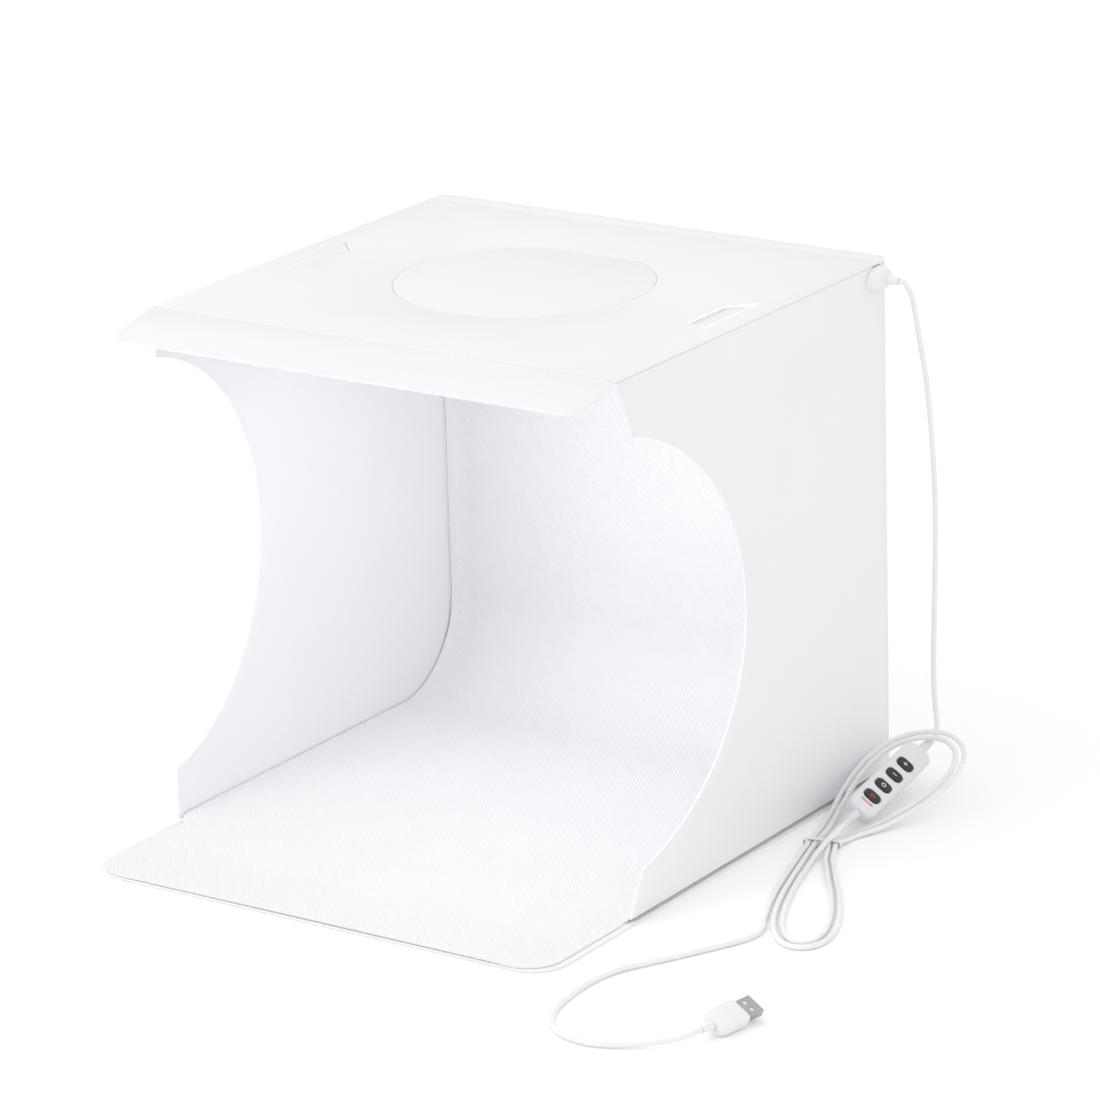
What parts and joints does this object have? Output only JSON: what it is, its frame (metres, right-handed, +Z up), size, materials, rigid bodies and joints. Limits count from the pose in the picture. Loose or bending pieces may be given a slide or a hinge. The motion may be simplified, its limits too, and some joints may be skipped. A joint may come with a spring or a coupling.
{
  "type": "light tent cube",
  "caption": "Folding light tent cube of creased white sheet with a fabric sweep, a round camera flap in the top, a ring lamp under it and a corded dimmer",
  "frame": {"origin": "on the floor under the middle of the box and its front flap together, halfway across the width", "axes": "+X to the right as seen from the open front, +Y from the open front to the back, +Z up"},
  "size_m": [0.4398, 0.4316, 0.3],
  "materials": {
    "sheet": "fine matte grain, slightly translucent white sheet",
    "backdrop": "fine twill, white",
    "hook": "hook tape, white",
    "loop": "loop tape, white",
    "foam": "foam adhesive tape",
    "lamp_board": "white solder mask",
    "lamps": "yellow phosphor on a thin strip",
    "diffuser": "milky satin",
    "cord": "satin sheath",
    "moulding": "satin white moulding",
    "controller": "satin pale grey moulding",
    "buttons": "matte black",
    "circuit": "green solder mask",
    "plug_metal": "satin plated steel",
    "insulator": "plain white",
    "contacts": "gold plated"
  },
  "bodies": {
    "box": {"back_panel": "sheet", "top_spine": "sheet", "left_side_panel": "sheet", "right_side_panel": "sheet", "left_top_flange": "sheet", "right_top_flange": "sheet", "left_bottom_flange": "sheet", "right_bottom_flange": "sheet", "base_panel": "sheet", "left_hook_strip": "hook", "right_hook_strip": "hook", "left_loop_strip": "loop", "right_loop_strip": "loop", "left_hook_tape": "hook", "right_hook_tape": "hook", "left_loop_tape": "loop", "right_loop_tape": "loop", "backdrop": "backdrop", "cable_outlet": "moulding", "inner_lead": "cord", "drop_cord": "cord", "controller_lower_shell": "controller", "controller_upper_shell": "controller", "controller_board": "circuit", "controller_outlet_relief": "controller", "controller_inlet_relief": "controller", "cord_hank": "cord", "twist_tie": "moulding", "tail_cord": "cord", "plug_relief": "moulding", "plug_overmould": "moulding", "plug_shell": "plug_metal", "plug_insulator": "insulator", "plug_contact_1": "contacts", "plug_contact_2": "contacts", "plug_contact_3": "contacts", "plug_contact_4": "contacts"},
    "top": {"top_panel": "sheet", "ring_tape": "foam", "ring_board": "lamp_board", "ring_leds": "lamps", "ring_diffuser": "diffuser", "ring_terminal": "moulding", "ring_lead": "cord", "lead_clip": "moulding"},
    "front_flap": {"front_flap": "sheet", "backdrop_front": "backdrop"},
    "top_disc_flap": {"top_disc_flap": "sheet"},
    "visor": {"visor": "sheet"},
    "left_lock_tab": {"left_lock_tab": "sheet"},
    "right_lock_tab": {"right_lock_tab": "sheet"},
    "power_button": {"power_button": "buttons"},
    "mode_button": {"mode_button": "buttons"},
    "dimmer_button": {"dimmer_button": "buttons"},
    "brighter_button": {"brighter_button": "buttons"}
  },
  "joints": [
    {"name": "top_lift", "type": "hinge", "parent": "box", "child": "top", "pos_m": [0, 0.1665, 0.3], "axis": [-1, 0, 0], "range_deg": [0, 100]},
    {"name": "disc_flap_hinge", "type": "hinge", "parent": "top", "child": "top_disc_flap", "pos_m": [0, 0.10499, 0.3], "axis": [-1, 0, 0], "range_deg": [0, 160]},
    {"name": "visor_hinge", "type": "hinge", "parent": "top", "child": "visor", "pos_m": [0, -0.0965, 0.2985], "axis": [-1, 0, 0], "range_deg": [-77, 13]},
    {"name": "front_flap_hinge", "type": "hinge", "parent": "box", "child": "front_flap", "pos_m": [0, -0.0965, 0.0015], "axis": [-1, 0, 0], "range_deg": [0, 90]},
    {"name": "left_lock_tab_hinge", "type": "hinge", "parent": "top", "child": "left_lock_tab", "pos_m": [-0.136, 0.036, 0.3], "axis": [0, -1, 0], "range_deg": [0, 68]},
    {"name": "right_lock_tab_hinge", "type": "hinge", "parent": "top", "child": "right_lock_tab", "pos_m": [0.136, 0.036, 0.3], "axis": [0, 1, 0], "range_deg": [0, 68]},
    {"name": "power_button_press", "type": "slide", "parent": "box", "child": "power_button", "axis": [-0.6207, 0.0678, -0.7811], "range_m": [0, 0.0008], "stiffness_N_per_m": 300},
    {"name": "mode_button_press", "type": "slide", "parent": "box", "child": "mode_button", "axis": [-0.6207, 0.0678, -0.7811], "range_m": [0, 0.0008], "stiffness_N_per_m": 300},
    {"name": "dimmer_button_press", "type": "slide", "parent": "box", "child": "dimmer_button", "axis": [-0.6207, 0.0678, -0.7811], "range_m": [0, 0.0008], "stiffness_N_per_m": 300},
    {"name": "brighter_button_press", "type": "slide", "parent": "box", "child": "brighter_button", "axis": [-0.6207, 0.0678, -0.7811], "range_m": [0, 0.0008], "stiffness_N_per_m": 300}
  ]
}
